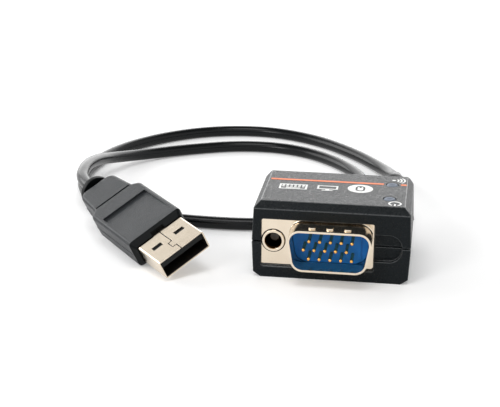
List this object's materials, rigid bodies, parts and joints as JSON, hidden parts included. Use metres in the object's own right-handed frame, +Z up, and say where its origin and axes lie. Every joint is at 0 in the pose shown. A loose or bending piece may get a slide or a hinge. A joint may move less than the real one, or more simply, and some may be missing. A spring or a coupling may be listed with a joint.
{
  "type": "kvm dongle",
  "caption": "Small black server access dongle: video plug with a captive jackscrew in front, network jack behind, and a thin looped cable to a USB plug.",
  "frame": {"origin": "centre of the housing's underside, on the surface that the dongle rests on", "axes": "+X to the right seen from the video plug, +Y from the video plug to the network jack, +Z up"},
  "size_m": [0.0883, 0.1168, 0.0172],
  "materials": {
    "housing_black": "fine spark-eroded texture",
    "nickel_plate": "bright nickel plate on stamped steel",
    "insulator_blue": "smooth moulded blue",
    "gold_plate": "gold flash, polished",
    "screw_steel": "turned, nickel plated",
    "knob_black": "fluted moulding",
    "moulding_black": "smooth moulding",
    "board_green": "solder-mask coated board",
    "chip_black": "moulded package",
    "lamp_body": "moulded lamp package",
    "light_pipe_smoke": "clear smoky moulding",
    "boot_black": "soft ribbed moulding",
    "grip_grey": "soft satin overmoulding",
    "cable_black": "smooth extruded jacket"
  },
  "bodies": {
    "dongle": {"bottom_shell": "housing_black", "top_shell": "housing_black", "vga_front_shell": "nickel_plate", "vga_rear_shell": "nickel_plate", "rj45_shield": "nickel_plate", "usb_shell": "nickel_plate", "vga_insulator": "insulator_blue", "vga_pin_01": "gold_plate", "vga_pin_02": "gold_plate", "vga_pin_03": "gold_plate", "vga_pin_04": "gold_plate", "vga_pin_05": "gold_plate", "vga_pin_06": "gold_plate", "vga_pin_07": "gold_plate", "vga_pin_08": "gold_plate", "vga_pin_09": "gold_plate", "vga_pin_10": "gold_plate", "vga_pin_11": "gold_plate", "vga_pin_12": "gold_plate", "vga_pin_13": "gold_plate", "vga_pin_14": "gold_plate", "vga_pin_15": "gold_plate", "rj45_contact_1": "gold_plate", "rj45_contact_2": "gold_plate", "rj45_contact_3": "gold_plate", "rj45_contact_4": "gold_plate", "rj45_contact_5": "gold_plate", "rj45_contact_6": "gold_plate", "rj45_contact_7": "gold_plate", "rj45_contact_8": "gold_plate", "usb_contact_1": "gold_plate", "usb_contact_2": "gold_plate", "usb_contact_3": "gold_plate", "usb_contact_4": "gold_plate", "screw_eyelet": "screw_steel", "rj45_housing": "moulding_black", "usb_tongue": "moulding_black", "connector_board": "board_green", "main_board": "board_green", "controller_chip": "chip_black", "driver_chip": "chip_black", "power_led": "lamp_body", "status_led": "lamp_body", "power_light_pipe": "light_pipe_smoke", "status_light_pipe": "light_pipe_smoke", "cable_boot": "boot_black", "usb_inner_mold": "boot_black", "usb_grip": "grip_grey", "cable": "cable_black"},
    "screw_carrier": {"screw_retainer": "screw_steel"},
    "captive_screw": {"jackscrew": "screw_steel", "jackscrew_knob": "knob_black"}
  },
  "joints": [
    {"name": "screw_slide", "type": "slide", "parent": "dongle", "child": "screw_carrier", "axis": [0, -1, 0], "range_m": [0, 0.0046]},
    {"name": "screw_turn", "type": "hinge", "parent": "screw_carrier", "child": "captive_screw", "pos_m": [-0.0125, 0, 0.0084], "axis": [0, 1, 0], "continuous": true}
  ]
}
